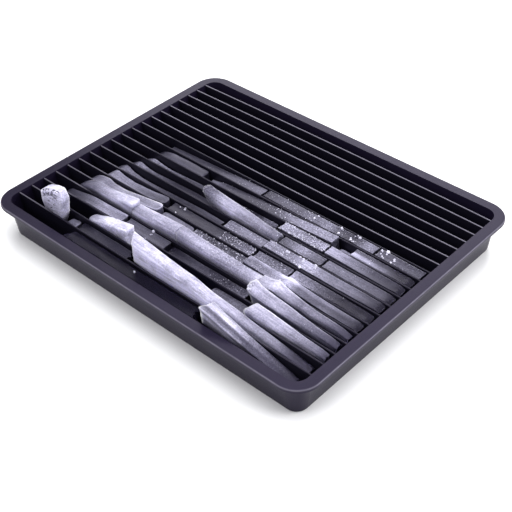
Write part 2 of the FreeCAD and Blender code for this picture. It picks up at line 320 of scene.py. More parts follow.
MM = 0.001
ROWS_ACROSS = 14
ROW_DEPTH = 1.1
CRISP_EDGE = 0.4
TOP_HOLLOW = 0.2
BREAK_RUN = 6.0
TAIL_RUN = 22.0
FLARE_RUN = 34.0
# White added as a painted highlight along the edges of a bar's top, less where it has melted.
EDGE_HIGHLIGHT = 0.16
SOFT_EDGE_HIGHLIGHT = 0.02
# How long each kind of unevenness is along, across and down the ice, in millimetres, and its seed.
WAVES = {
    "long": ((60.0, 3.0, 3.6), 0),
    "swell": ((14.0, 6.0, 8.0), 5),
    "lump": ((4.0, 2.6, 3.0), 6),
    "grain": ((1.3, 1.2, 1.2), 7),
    "flake": ((1.0, 2.6, 3.4), 9),
    "notch": ((1.0, 1.1, 1.3), 13),
    "sway": ((17.0, 9.0, 9.0), 21),
}
body_of = {
    node: body for body, nodes in frame["record"]["behaviour"]["bodies"].items() for node in nodes
}
lattice = np.random.default_rng(11).uniform(-1.0, 1.0, (32, 32, 32))


def ripple(points, scale, seed=0):
    """Smooth random waves between -1 and 1 at points in millimetres, of a given length each way."""
    place = points / np.array(scale, float) + seed * 5.37
    cell = np.floor(place).astype(int)
    part = place - cell
    part = part * part * (3.0 - 2.0 * part)
    total = np.zeros(len(points))
    for corner in np.ndindex(2, 2, 2):
        share = np.prod(np.where(corner, part, 1.0 - part), axis=1)
        index = (cell + corner) % len(lattice)
        total += share * lattice[index[:, 0], index[:, 1], index[:, 2]]
    return total


def wave(kind, points, end=0):
    """One kind of unevenness at points in millimetres, different at each end of a bar."""
    lengths, seed = WAVES[kind]
    return ripple(points, lengths, seed + end)


def fading(distance, run):
    """One at no distance, falling evenly to nothing over a run."""
    return np.clip(1 - distance / run, 0, 1)


def read_off(table, places, column=1):
    """What a table of rows, each a place and its values, gives at places between its rows."""
    rows = np.array(table, float)
    return np.interp(places, rows[:, 0], rows[:, column])


def welded(node):
    """A CAD node's mesh to edit, in which faces that meet share their points."""
    work = bmesh.new()
    work.from_mesh(frame["nodes"][node].data)
    bmesh.ops.remove_doubles(work, verts=work.verts, dist=1e-6)
    return work


def solids_of(node):
    """The corner points of each separate solid of a CAD node, in millimetres, from the left."""
    work = welded(node)
    waiting = set(work.verts)
    solids = []
    while waiting:
        island, edge = set(), [waiting.pop()]
        while edge:
            vert = edge.pop()
            island.add(vert)
            near = {e.other_vert(vert) for e in vert.link_edges} & waiting
            waiting -= near
            edge.extend(near)
        solids.append(np.array([vert.co for vert in island]) / MM)
    work.free()
    return sorted(solids, key=lambda points: tuple(points.mean(axis=0)))


def bar_corners(points):
    """The eight corners of a bar as [end][side][level]: left first, front first, low first."""
    by_end = points[np.argsort(points[:, 0])]
    corners = np.zeros((2, 2, 2, 3))
    for end in (0, 1):
        four = by_end[4 * end:4 * end + 4]
        four = four[np.argsort(four[:, 2])]
        for level in (0, 1):
            two = four[2 * level:2 * level + 2]
            corners[end, :, level] = two[np.argsort(two[:, 1])]
    return corners


def bar_size(corners):
    """A bar's length, width and depth, each between the middles of two opposite faces."""
    opposite = (
        (corners[0], corners[1]),
        (corners[:, 0], corners[:, 1]),
        (corners[:, :, 0], corners[:, :, 1]),
    )
    return np.array(
        [np.linalg.norm(far.mean(axis=(0, 1)) - near.mean(axis=(0, 1))) for near, far in opposite]
    )


def block_grid(counts):
    """The surface of a block of unit size as points and four-sided faces."""
    index, points, faces = {}, [], []

    def number(key):
        if key not in index:
            index[key] = len(points)
            points.append([key[axis] / counts[axis] for axis in range(3)])
        return index[key]

    for axis in range(3):
        one, two = [other for other in range(3) if other != axis]
        for level in (0, counts[axis]):
            for i in range(counts[one]):
                for j in range(counts[two]):
                    ring = []
                    for di, dj in ((0, 0), (1, 0), (1, 1), (0, 1)):
                        key = [0, 0, 0]
                        key[axis], key[one], key[two] = level, i + di, j + dj
                        ring.append(number(tuple(key)))
                    outward = (level > 0) == (axis != 1)
                    faces.append(ring if outward else ring[::-1])
    return np.array(points), faces


def rounded_block(flat, size, edges):
    """A block's points with its edges rounded by a radius for each axis, and their way outward."""
    inner = np.clip(flat, edges, size - edges)
    out = flat - inner
    out = out / np.maximum(np.linalg.norm(out, axis=1, keepdims=True), 1e-9)
    return inner + out * edges, out


def fit_between(corners, shares):
    """Puts points, given as shares of a block's size, between the corners of a CAD bar."""
    place = np.zeros((len(shares), 3))
    for corner in np.ndindex(2, 2, 2):
        near = np.where(corner, shares, 1 - shares)
        place += (near[:, 0] * near[:, 1] * near[:, 2])[:, None] * corners[corner]
    return place


def snapped_ice(
    points, seed, frost, step=1.0, edge=0.4, soft=0.0, chip=0.8, reach=(0.0, 0.0),
    slant=(0.0, 0.0), rounding=(0.0, 0.0), dip=(0.0, 0.0), dip_run=(20.0, 8.0), tail=0.0,
    thin=0.0, rise=((0.0, 0.0),), flare=(0.0, 0.0), sway=0.15,
    side_light_and_shade=((0, 0.85), (1.5, 0.45), (20, 0.25)), top_light_and_shade=((0, 1.0), (1, 1.0)),
):
    """One length of snapped bar, shaped straight and then fitted between its CAD bar's corners.

    Lengths are in millimetres, and pairs are for the left and the right end. frost gives how white
    and how gritty the ice is at places along X. edge is the radius of its worn edges, and soft how
    far its front edge has melted down. chip is how deep the ends are broken, reach how far they
    stand out, slant their skew, rounding how round they are, and dip how far they sag over
    dip_run. tail draws the left end out, flare spreads its top to the front and the back, thin
    narrows the top to the right, rise lifts it at places along X, and sway makes it wander. side
    gives painted light and shade: how much of the white shows at depths down the sides. bands gives
    painted highlights and shade: how much shows from the front edge of the top to its back edge.
    A painted highlight is also added along the edges of the top.
    """
    corners = bar_corners(points)
    size = bar_size(corners)
    length, width, depth = size
    counts = [max(4, round(length / step)), ROWS_ACROSS, max(6, round(depth / ROW_DEPTH))]
    unit, faces = block_grid(counts)
    flat = unit * size
    shape, out = rounded_block(flat, size, np.array([CRISP_EDGE if soft else edge, edge, edge]))

    shift = np.array([seed * 31.7, seed * 7.3, seed * 3.1])
    long_wave, swell, lumps = (wave(kind, flat + shift) for kind in ("long", "swell", "lump"))
    relief = 0.10 * (1 + long_wave) + 0.16 * (1 + swell) + 0.06 * (1 + lumps)
    shape -= out * relief[:, None]

    across = flat[:, 1] / width * 2 - 1
    to_front, to_back = np.clip(-across, 0, 1), np.clip(across, 0, 1)
    high = flat[:, 2] / depth
    on_top = out[:, 2] > 0.4
    shape[:, 2] -= on_top * TOP_HOLLOW * (1 - across ** 2) + soft * to_front ** 2 * high ** 3
    start, stop = corners[0, :, 1, 0].mean(), corners[1, :, 1, 0].mean()
    drawn_out = tail * fading(flat[:, 0], TAIL_RUN)
    along = start + unit[:, 0] * (stop - start) - drawn_out
    grit = read_off(frost, along, 2)
    shape -= out * (0.12 * grit * (1 + wave("grain", flat + shift)))[:, None]

    round_end = width * 0.5 * (1 - np.sqrt(np.clip(1 - (0.97 * across) ** 2, 0, 1)))
    for end, inward, away in ((0, 1.0, flat[:, 0]), (1, -1.0, length - flat[:, 0])):
        section = flat * (0, 1, 1) + shift + 40 * end
        flake, notch = wave("flake", section, end), wave("notch", section, end)
        bite = chip * (0.5 + 0.5 * flake) + 0.35 * chip * (0.5 + 0.5 * notch) - reach[end]
        near_end = fading(away, width * 1.6)
        broken = bite * fading(away, BREAK_RUN) ** 1.4
        shape[:, 0] += inward * (broken + rounding[end] * round_end * near_end)
        shape[:, 0] -= slant[end] * across * near_end
        sag = fading(away, dip_run[end])
        shape[:, 2] -= dip[end] * (sag * sag * (3 - 2 * sag)) * high ** 2
    shape[:, 0] -= drawn_out
    shape[:, 1] += thin * width * unit[:, 0] * high ** 2 * (1 - unit[:, 1])
    lift = sum(read_off(rise, along + beside) for beside in (-2, -1, 0, 1, 2)) / 5
    shape[:, 2] += lift * high * (1 - 0.3 * across ** 2 * (lift > 0))
    shape[:, 1] += sway * high * wave("sway", flat * (1, 0, 0) + shift)
    spread = fading(flat[:, 0], FLARE_RUN) * high ** 3
    shape[:, 1] += spread * (flare[1] * to_back - flare[0] * to_front)

    # Painted light and shade: the frost is scaled by depth down the sides and across the top.
    painted_side_shading = read_off(side_light_and_shade, depth - flat[:, 2] + 0.8 * long_wave)
    painted_shading = np.where(on_top, read_off(top_light_and_shade, unit[:, 1] + 0.06 * long_wave), painted_side_shading)
    white = read_off(frost, along) * painted_shading
    white *= 1 + 0.14 * long_wave + 0.10 * swell + 0.08 * lumps
    # A painted highlight: more white along the edges and ends of the top.
    highlighted_edge = on_top & ((np.abs(across) > 0.9) | (np.minimum(flat[:, 0], length - flat[:, 0]) < 0.9))
    edge_highlight = SOFT_EDGE_HIGHLIGHT if soft else EDGE_HIGHLIGHT
    white += edge_highlight * highlighted_edge * (white > 0.12) * (0.6 + 0.6 * lumps)
    return fit_between(corners, shape / size), faces, white, grit


def points_of(mesh):
    """A mesh's points in millimetres, and which way the surface faces at each of them."""
    points = np.zeros(len(mesh.vertices) * 3)
    normals = np.zeros(len(mesh.vertices) * 3)
    mesh.vertices.foreach_get("co", points)
    mesh.vertex_normals.foreach_get("vector", normals)
    return points.reshape(-1, 3) / MM, normals.reshape(-1, 3)


def mark(mesh, title, values):
    """Gives every point of a mesh a value for a finish or the crumbs to read."""
    mesh.attributes.new(title, "FLOAT", "POINT").data.foreach_set("value", values)


def ice_mesh(name, parts):
    """One mesh of one or more lengths of ice, which carries how white and how gritty they are."""
    places, rings, whites, grits = zip(*parts)
    faces = []
    start = 0
    for place, part_rings in zip(places, rings):
        faces += [[start + number for number in ring] for ring in part_rings]
        start += len(place)
    mesh = bpy.data.meshes.new(name)
    mesh.from_pydata(np.concatenate(places) * MM, [], faces)
    for title, values in (("white", whites), ("grit", grits)):
        mark(mesh, title, np.clip(np.concatenate(values), 0, 1))
    mesh.shade_smooth()
    return mesh


def ice_finish(name, clear, milk, least_solid, glow, spread=0.005, shine=0.5):
    """Ice from clear to white. Clear parts let the dark tray show, white ones scatter the light."""
    finish = Finish(name)
    # white holds the frost together with the painted highlights and painted light and shade.
    white = finish.node("ShaderNodeAttribute", "Fac", {"attribute_name": "white"})
    grit = finish.node("ShaderNodeAttribute", "Fac", {"attribute_name": "grit"})
    streaks = finish.noise(1.0, detail=2.0, rough=0.5, along=(14.0, 330.0, 280.0))
    scratches = finish.noise(1.0, detail=1.0, rough=0.5, along=(45.0, 1100.0, 900.0))
    specks = finish.noise(1000.0, detail=2.0, rough=0.65)
    clouds = finish.noise(150.0, detail=3.0)
    uneven = 1.0 + (streaks - 0.5) * 0.55 + (clouds - 0.5) * 0.32 + (scratches - 0.5) * 0.45
    speckle = white * (1.3 - white) * (0.2 + clouds * 1.3) + 0.05 + grit * 1.1
    body = (white * uneven + (specks - 0.5) * speckle).limited()
    frozen_on = clouds * 0.6 + streaks * 0.3 + specks * (body * 0.5 + grit * 0.5)
    finish.surface(
        Base_Color=finish.mixed(body ** 2.0, clear, milk),
        Roughness=0.32 + body * 0.20,
        Alpha=(least_solid + body * 1.3).limited(),
        Normal=finish.relief(frozen_on, 0.0005, 0.5),
    )
    finish.shader.inputs["IOR"].default_value = 1.31
    finish.shader.inputs["Specular IOR Level"].default_value = shine
    finish.shader.inputs["Specular Tint"].default_value = (0.78, 0.72, 1.0, 1)
    finish.shader.inputs["Subsurface Weight"].default_value = glow
    finish.shader.inputs["Subsurface Radius"].default_value = (1.0, 1.0, 1.0)
    finish.shader.inputs["Subsurface Scale"].default_value = spread
    return finish.material


def lay_ice(node, mesh, finish):
    """Puts a finished length of ice in the place of its CAD bar."""
    piece = bpy.data.objects.new(node + "_ice", mesh)
    scene.collection.objects.link(piece)
    mesh.materials.append(finish)
    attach(piece, body_of[node])
    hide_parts(node)


CLEAR_TONE = (0.006, 0.005, 0.012)
MILKY_TONE = (0.60, 0.58, 0.79)
trough_ice = ice_finish("trough ice", CLEAR_TONE, MILKY_TONE, 0.82, 0.2)
clear_ice = ice_finish("clear ice", CLEAR_TONE, MILKY_TONE, 0.82, 0.2, shine=0.22)
raised_ice = ice_finish(
    "raised ice", (0.020, 0.018, 0.036), (0.68, 0.66, 0.86), 0.88, 1.0, spread=0.009
)

# Level bars
# Bars and short lengths that are still frozen in rows 9 to 20, level with the crests or a little
# below them. Each is a snapped length of clear ice with milky streaks, given from the left.

# A bar whose left end froze thin and humped up, with painted shade along the middle of its top and
# a painted highlight along its back edge, and one whose right end meets the tray's wall.
HUMP = dict(
    edge=0.9,
    tail=9.0,
    rounding=(0.5, 0.0),
    top_light_and_shade=((0, 0.95), (0.45, 0.72), (0.85, 1.0), (1, 1.35)),
)
TO_WALL = dict(dip=(0.0, 0.7), rounding=(0.0, 0.2), dip_run=(20.0, 5.0), edge=0.6)
LEVEL_BARS = {
    "ice_09_left": dict(
        frost=((-96, 0.24, 0), (-75, 0.22, 0), (-50, 0.18, 0), (-25, 0.32, 0.1), (-5, 0.36, 0.2)),
    ),
    "ice_09_middle": dict(
        frost=(
            (-2, 0.08, 0.15), (12, 0.28, 0.2), (30, 0.28, 0.4), (53, 0.44, 0.6), (64, 0.22, 0.5),
            (74, 0.1, 0.3), (86, 0.54, 0.4), (93, 0.4, 0.3),
        ),
        reach=(0.6, 0.3),
    ),
    "ice_09_right": dict(
        frost=((93, 0.26, 0.4), (105, 0.26, 0.1), (128, 0.2, 0.4)),
        reach=(0.3, 0),
    ),
    "ice_10_left": dict(
        HUMP,
        frost=((-106, 0.0, 0), (-96, 0.22, 0), (-84, 0.36, 0), (-50, 0.24, 0)),
        rise=((-114, -16), (-102, -4), (-92, 1.6), (-83, 3.0), (-70, 2.0), (-50, 0)),
        reach=(0, 1.0),
    ),
    "ice_10_middle": dict(
        frost=(
            (-47, 0.46, 0), (-41, 0.44, 0), (-26, 0.2, 0), (0, 0.18, 0.1), (14, 0.2, 0.2),
            (24, 0.34, 0.4), (36, 0.5, 0.5), (67, 0.56, 0.5),
        ),
        dip=(2, 0),
    ),
    "ice_10_right": dict(
        TO_WALL,
        frost=((81, 0.72, 0.2), (95, 0.58, 0), (108, 0.34, 0), (116, 0.06, 0), (128, 0.0, 0)),
        top_light_and_shade=((0, 0.9), (0.15, 1.2), (0.42, 1.1), (0.6, 0.5), (1, 0.35)),
    ),
    "ice_11_left": dict(
        HUMP,
        frost=(
            (-110, 0.0, 0), (-101, 0.25, 0.1), (-94, 0.64, 0.5), (-80, 0.6, 0.4), (-60, 0.4, 0.1),
            (-45, 0.34, 0), (-24, 0.26, 0), (-10, 0.12, 0), (6, 0.14, 0.3), (14, 0.42, 0.5),
            (25, 0.5, 0.6),
        ),
        rise=(
            (-115, -16), (-103, -3.8), (-94, 0.2), (-86, -1.5), (-76, -2.3), (-50, -1.0), (-30, 0),
        ),
    ),
    "ice_11_middle": dict(
        frost=((30, 0.56, 0.8), (49, 0.46, 0.7), (68, 0.56, 0.8)),
        reach=(0.5, 0.5), chip=1.4,
    ),
    "ice_11_right": dict(
        TO_WALL,
        frost=((69, 0.66, 0.2), (90, 0.38, 0.1), (107, 0.22, 0), (120, 0.14, 0), (128, 0, 0)),
        reach=(0.5, 0),
    ),
    "ice_12_left": dict(
        HUMP,
        frost=(
            (-113, 0.0, 0), (-104, 0.3, 0.1), (-97, 0.66, 0.2), (-80, 0.48, 0.1), (-62, 0.26, 0),
            (-44, 0.18, 0), (-21, 0.28, 0),
        ),
        rise=(
            (-117, -16), (-107, -4.5), (-98, 0.2), (-92, -1.6), (-84, -2.4), (-68, -1.4), (-45, 0),
        ),
    ),
    "ice_12_middle": dict(
        frost=((39, 0.24, 0.3), (48, 0.36, 0.4), (57, 0.54, 0.4), (66, 0.34, 0.3), (74, 0.28, 0.3)),
        reach=(0.5, 0.5),
    ),
    "ice_12_right": dict(
        TO_WALL,
        frost=((75, 0.4, 0.2), (102, 0.38, 0), (120, 0.26, 0), (128, 0, 0)),
        reach=(0.5, 0),
    ),
    "ice_13_left": dict(
        HUMP,
        frost=(
            (-114, 0.0, 0), (-106, 0.3, 0.1), (-99, 0.54, 0.1), (-86, 0.52, 0), (-70, 0.4, 0),
            (-54, 0.26, 0), (-38, 0.22, 0), (-5, 0.34, 0),
        ),
        rise=(
            (-118, -16), (-110, -4.8), (-101, 0.4), (-96, -2.4), (-87, -3.8), (-73, -3.6),
            (-50, -1.8), (-25, 0),
        ),
    ),
    "ice_13_middle": dict(frost=((-1, 0.45, 0.3), (34, 0.4, 0.3)), reach=(0, 0.4)),
    "ice_13_right": dict(
        TO_WALL,
        frost=(
            (35, 0.5, 0.4), (45, 0.46, 0.4), (58, 0.48, 0.4), (66, 0.74, 0.4), (72, 0.7, 0.2),
            (78, 0.52, 0.1), (105, 0.44, 0), (120, 0.2, 0), (128, 0, 0),
        ),
        reach=(0.4, 0),
    ),
    "ice_14_left": dict(
        HUMP,
        frost=(
            (-114, 0.0, 0), (-106, 0.35, 0.1), (-99, 0.58, 0.1), (-84, 0.58, 0), (-66, 0.46, 0),
            (-46, 0.28, 0.1),
        ),
        rise=(
            (-118, -16), (-109, -6.0), (-100, 0.6), (-92, -1.6), (-82, -3.3), (-68, -2.8),
            (-46, -1.0),
        ),
        rounding=(0.5, 0.8), reach=(0, 1.0),
    ),
    "ice_14_middle": dict(frost=((-42, 0.08, 0), (0, 0.12, 0.1), (11, 0.22, 0.6), (33, 0.34, 0.8))),
    "ice_14_inner": dict(frost=((35, 0.4, 0.5), (64, 0.35, 0.5)), reach=(0.7, 0.4)),
    "ice_14_right": dict(
        TO_WALL,
        frost=((65, 0.66, 0.4), (90, 0.26, 0.3), (106, 0.03, 0), (128, 0, 0)),
        reach=(0.4, 0),
    ),
    "ice_15_middle": dict(frost=((-12, 0.32, 0.3), (-4, 0.28, 0.4), (6, 0.2, 0.6), (36, 0.3, 0.7))),
    "ice_15_right": dict(
        TO_WALL,
        frost=(
            (37, 0.52, 0.4), (56, 0.53, 0.2), (67, 0.8, 0), (73, 0.85, 0), (80, 0.46, 0),
            (105, 0.32, 0), (120, 0.22, 0), (128, 0, 0),
        ),
        reach=(0.6, 0), rise=((58, 0), (68, 1.0), (72, 3.8), (74, 2.2), (86, 0.6), (98, 0)),
        top_light_and_shade=((0, 0.9), (0.5, 0.8), (1, 1.3)),
    ),
    "ice_17_left": dict(
        frost=(
            (-120, 0.0, 0), (-109, 0.24, 0), (-95, 0.26, 0), (-80, 0.48, 0.1), (-74, 0.58, 0.1),
            (-53, 0.58, 0.1),
        ),
        tail=4.0, rounding=(0.5, 0.3),
        rise=((-122, -14), (-115, -3.5), (-107, -2.6), (-89, 0.5), (-75, 0)),
        top_light_and_shade=((0, 0.8), (0.6, 0.85), (1, 1.25)),
    ),
    "ice_17_middle": dict(frost=((-52, 0.35, 0), (-13, 0.25, 0.1)), reach=(0.4, 0.3)),
    "ice_17_inner": dict(frost=((-12, 0.03, 0), (13, 0.24, 0.1), (40, 0.15, 0.4), (57, 0.36, 0.5))),
    "ice_19_dark": dict(frost=((-76, 0.0, 0), (-60, 0.2, 0), (-24, 0.14, 0)), chip=4.0),
    "ice_20_dark": dict(
        frost=((-76, 0.0, 0), (-50, 0.04, 0), (-30, 0.0, 0), (48, 0.0, 0)),
        chip=4.0,
    ),
}
for seed, (node, form) in enumerate(LEVEL_BARS.items(), 1):
    (points,) = solids_of(node)
    mesh = ice_mesh(node + "_ice", [snapped_ice(points, seed, **form)])
    lay_ice(node, mesh, clear_ice if node.endswith("_dark") else trough_ice)

# Raised shards
# Snapped lengths that have come loose and stand up out of their troughs, whiter than the rest,
# with painted light that brightens their sides nearly as much as their tops.

# Painted light and shade across a shard's top: a little darker in the middle, a highlight at the
# back.
RIDGE_LIGHT_AND_SHADE = ((0, 1.0), (0.5, 0.92), (0.8, 0.96), (1, 1.1))
RAISED_SHARDS = {
    "shard_12": dict(
        frost=(
            (-31, 0.2, 0.4), (-24, 0.36, 0.3), (-14, 0.6, 0.1), (-5, 0.64, 0), (12, 0.5, 0),
            (25, 0.46, 0.1), (38, 0.36, 0.2),
        ),
        edge=1.2, slant=(-1.5, 0), chip=1.6, rise=((-31, 1.2), (-24, 0)), soft=2.2, sway=0.4,
        side_light_and_shade=((0, 1.2), (4, 1.25), (12, 1.0)),
    ),
    "shard_15_left": dict(
        HUMP,
        frost=(
            (-117, 0.0, 0), (-110, 0.26, 0), (-102, 0.42, 0), (-81, 0.72, 0), (-62, 0.64, 0),
            (-40, 0.62, 0),
        ),
        rise=(
            (-121, -14), (-112, -5.0), (-106, -1.8), (-96, -0.8), (-91, -3.2), (-78, -3.6),
            (-60, -2.0), (-42, 0),
        ),
        rounding=(0.5, 0.8), edge=1.0, sway=0.3,
    ),
    "shard_16_left": dict(
        frost=(
            (-116, 0.0, 0), (-107, 0.2, 0), (-100, 0.3, 0), (-88, 0.46, 0), (-76, 0.64, 0),
            (-51, 0.84, 0),
        ),
        rounding=(0.6, 0.7), edge=1.2, tail=9.0,
        rise=(
            (-120, -15), (-110, -4.0), (-102, -0.5), (-94, 1.0), (-81, -1.5), (-63, -0.5),
            (-52, 0.6),
        ),
        soft=1.0, sway=0.4, side_light_and_shade=((0, 1.05), (3, 1), (8, 0.75)),
    ),
    "shard_16_middle": dict(
        frost=((-50, 0.7, 0), (-40, 0.72, 0.1), (-30, 0.64, 0.1), (-13, 0.66, 0.1)),
        reach=(4.0, 0.75), chip=0.4, soft=2.2, edge=1.6, sway=0.4,
        side_light_and_shade=((0, 1.1), (6, 1.05), (9, 0.8)),
    ),
    "shard_16_inner": dict(
        frost=(
            (-11, 0.56, 0.1), (-3, 0.56, 0.1), (13, 0.64, 0.3), (31, 0.54, 0.3), (48, 0.52, 0.3),
            (56, 0.68, 0.1),
        ),
        reach=(0.75, 2.2), rise=((42, 0), (57, 0.9)), chip=0.4, soft=2.0, edge=1.5, sway=0.4,
        side_light_and_shade=((0, 1.15), (6, 1.1), (9, 0.9)),
    ),
    "shard_16_right": dict(
        frost=(
            (57, 0.68, 0.1), (65, 0.7, 0.1), (71, 0.8, 0), (80, 0.66, 0), (92, 0.4, 0),
            (107, 0.38, 0), (120, 0.2, 0), (128, 0.05, 0),
        ),
        chip=0.5, reach=(0.7, 0), soft=1.6, edge=1.5,
        rise=(
            (57, -1.9), (62, -1.5), (67, 0.6), (69, 2.8), (71, 4.4), (73, 2.2), (84, 0.7), (95, 0),
        ),
        flare=(1.5, 1.2), thin=0.3, sway=0.4, top_light_and_shade=RIDGE_LIGHT_AND_SHADE, dip=(0, 0.8),
    ),
    "shard_17_right": dict(
        frost=(
            (59, 1.0, 0.1), (64, 0.8, 0.1), (72, 0.7, 0.1), (84, 0.72, 0), (103, 0.42, 0),
            (120, 0.22, 0), (128, 0.05, 0),
        ),
        chip=1.8, soft=1.6, edge=1.3, rise=((59, 4.0), (61, 3.4), (63, 1.0), (72, 0.4), (86, 0)),
        flare=(0.7, 1.4), thin=0.3, sway=0.4, top_light_and_shade=RIDGE_LIGHT_AND_SHADE, dip=(0, 0.8),
    ),
    "shard_18_left": dict(
        frost=((-76, 0.48, 0), (-66, 0.62, 0), (-60, 0.82, 0.2), (-35, 0.84, 0.2)),
        rounding=(0.9, 0.0), edge=1.5, dip=(2.0, 0), side_light_and_shade=((0, 1.15), (3, 1.1), (9, 0.95)),
    ),
    "shard_18_right": dict(
        frost=((68, 0.7, 0.1), (90, 0.7, 0), (106, 0.48, 0), (120, 0.34, 0), (128, 0.1, 0)),
        chip=1.2, soft=1.6, edge=1.4, slant=(-1.5, 0), flare=(0.3, 1.2), thin=0.25, sway=0.4,
        top_light_and_shade=RIDGE_LIGHT_AND_SHADE, dip=(0, 0.8),
        side_light_and_shade=((0, 1.1), (2, 0.9), (3, 1.1), (4, 0.8), (5, 1.05), (9, 0.8)),
    ),
    "long_shard": dict(
        frost=(
            (-21, 0.78, 0.2), (10, 0.8, 0.1), (40, 0.8, 0.1), (62, 0.64, 0), (81, 0.5, 0),
            (100, 0.36, 0), (119, 0.0, 0),
        ),
        slant=(3.2, 0), edge=1.8, soft=1.6, thin=0.1, sway=0.5,
        side_light_and_shade=((0, 1.2), (8, 1.25), (12, 1.2), (19, 1.05)),
    ),
    "front_shard": dict(
        frost=(
            (53, 0.66, 0.1), (65, 0.62, 0.1), (75, 0.64, 0.15), (88, 0.37, 0.2), (103, 0.22, 0.25),
            (112, 0.15, 0.2), (124, 0, 0.1),
        ),
        edge=0.9, soft=0.8, slant=(-2.0, 0), flare=(0, 1.2), sway=0.4,
        top_light_and_shade=(
            (0, 1.25), (0.1, 0.9), (0.28, 0.55), (0.42, 0.6), (0.55, 1.4), (0.8, 1.3), (0.9, 0.8),
            (1, 1.0),
        ),
        side_light_and_shade=((0, 1.15), (2, 0.9), (3.5, 0.7), (5, 1.0), (8, 1.05), (10, 0.75), (16, 0.6)),
    ),
}
for seed, (node, form) in enumerate(RAISED_SHARDS.items(), 41):
    (points,) = solids_of(node)
    mesh = ice_mesh(node + "_ice", [snapped_ice(points, seed, step=0.8, **form)])
    lay_ice(node, mesh, raised_ice)

# Chips
# Four short bits that broke off between the lengths and dropped back into their troughs. They
# are worn rounder than the bars, and stay in the tray as one group.

CHIP_FROST = (
    ((-90, 0.35, 0.1), (-77, 0.42, 0.1)),
    ((-39, 0.4, 0.1), (-13, 0.35, 0.1)),
    ((38, 0.3, 0.2), (65, 0.3, 0.2)),
    ((71, 0.6, 0.3), (80, 0.6, 0.3)),
)
chips = [
    snapped_ice(points, seed, frost, edge=1.1, rounding=(0.8, 0.9), reach=(3.2, 2.0))
    for seed, (points, frost) in enumerate(zip(solids_of("ice_chips"), CHIP_FROST), 61)
]
lay_ice("ice_chips", ice_mesh("ice_chips_ice", chips), trough_ice)

# Tipped lump
# The end of a bar that stands on its broken corner at the front left. Its faces are frosted
# white, with rounded edges, and a line of small dark pits follows the front of its top.

LUMP_VOXEL = 0.0006
MELT_ROUNDS = 16
LUMP_WHITE = 0.80
PIT_LINE = 0.12
PIT_LINE_RUN = 0.2
# Where the line of pits fades in and out, in millimetres from the lump's left end.
PITS_FADE = (1, 4, 19, 22)


def melted(node):
    """A node's CAD solid as a dense mesh whose edges and corners have melted round."""
    work = welded(node)
    rough = bpy.data.meshes.new("lump_rough")
    work.to_mesh(rough)
    work.free()
    rough_piece = bpy.data.objects.new("lump_rough", rough)
    scene.collection.objects.link(rough_piece)
    remesh = rough_piece.modifiers.new("remesh", "REMESH")
    remesh.mode = "VOXEL"
    remesh.voxel_size = LUMP_VOXEL
    melt = rough_piece.modifiers.new("melt", "SMOOTH")
    melt.factor = 0.5
    melt.iterations = MELT_ROUNDS
    mesh = bpy.data.meshes.new_from_object(
        rough_piece.evaluated_get(bpy.context.evaluated_depsgraph_get())
    )
    bpy.data.objects.remove(rough_piece)
    mesh.name = node + "_ice"
    return mesh


def tipped_lump(node):
    """The melted lump with a pitted, faintly faceted surface."""
    mesh = melted(node)
    place, normal = points_of(mesh)
    low, high = place.min(axis=0), place.max(axis=0)
    facet = ripple(place, (7.0, 5.0, 6.0), 2)
    pits = ripple(place, (1.4, 1.4, 1.4), 4)
    fine = ripple(place, (0.7, 0.7, 0.7), 6)
    behind = (place[:, 1] - low[1]) / (high[1] - low[1])
    line = fading(np.abs(behind - PIT_LINE), PIT_LINE_RUN) * (normal[:, 2] > 0.0)
    line *= np.interp(place[:, 0], [low[0] + past for past in PITS_FADE], (0, 1, 1, 0))
    sunk = 0.35 * (0.5 + 0.5 * facet) + 0.10 * (0.5 + 0.5 * pits)
    sunk += 0.5 * line * np.clip(pits + fine, 0, 1)
    place -= normal * sunk[:, None]
    mesh.vertices.foreach_set("co", (place * MM).ravel())
    white = LUMP_WHITE + 0.07 * facet - 1.2 * line * np.clip(0.4 + 1.5 * pits + fine, 0, 1)
    white -= 0.25 * np.clip((34 - place[:, 2]) / 10, 0, 1) * (place[:, 0] < low[0] + 12)
    mark(mesh, "white", np.clip(white, 0, 1))
    mark(mesh, "grit", np.clip(0.15 + 0.5 * line, 0, 1))
    mesh.materials.clear()
    mesh.shade_smooth()
    return mesh


lay_ice("ice_lump", tipped_lump("ice_lump"), raised_ice)

# Crumbs
# Grains and splinters of ice that flew off when the bars snapped. They froze on where they fell,
# thickest over the middle rows, with a few bigger crystals and one drop of water.

FULL_TURN = 6.28
GRAIN_STRETCH = (0.6, 1.3)
GRAIN_ROUGHNESS = 1.1
GRAIN_WHITE = 0.8
FACES_UP = 0.6
SCATTER = 0.5


class Tree:
    """A Geometry Nodes tree, built with its sockets given by name or place."""

    def __init__(self, name):
        self.group = bpy.data.node_groups.new(name, "GeometryNodeTree")
        self.face = self.group.interface
        self.face.new_socket("Geometry", in_out="INPUT", socket_type="NodeSocketGeometry")
        self.face.new_socket("Geometry", in_out="OUTPUT", socket_type="NodeSocketGeometry")
        self.ids = {}

    def named(self, name, kind):
        """An input of the tree, set by its identifier where the tree is used."""
        self.ids[name] = self.face.new_socket(name, in_out="INPUT", socket_type=kind).identifier

    def node(self, kind, settings=None, inputs=None):
        node = self.group.nodes.new(kind)
        for name, value in (settings or {}).items():
            setattr(node, name, value)
        for place, value in (inputs or {}).items():
            if isinstance(value, bpy.types.NodeSocket):
                self.group.links.new(value, node.inputs[place])
            else:
                node.inputs[place].default_value = value
        return node

    def vector_math(self, operation, inputs):
        return self.node("ShaderNodeVectorMath", {"operation": operation}, inputs).outputs[0]

    def random_vector(self, lowest, highest, seed):
        """A vector for each point, with each of its parts between the two limits."""
        limits = {0: (lowest,) * 3, 1: (highest,) * 3, "Seed": seed}
        settings = {"data_type": "FLOAT_VECTOR"}
        return self.node("FunctionNodeRandomValue", settings, limits).outputs[0]


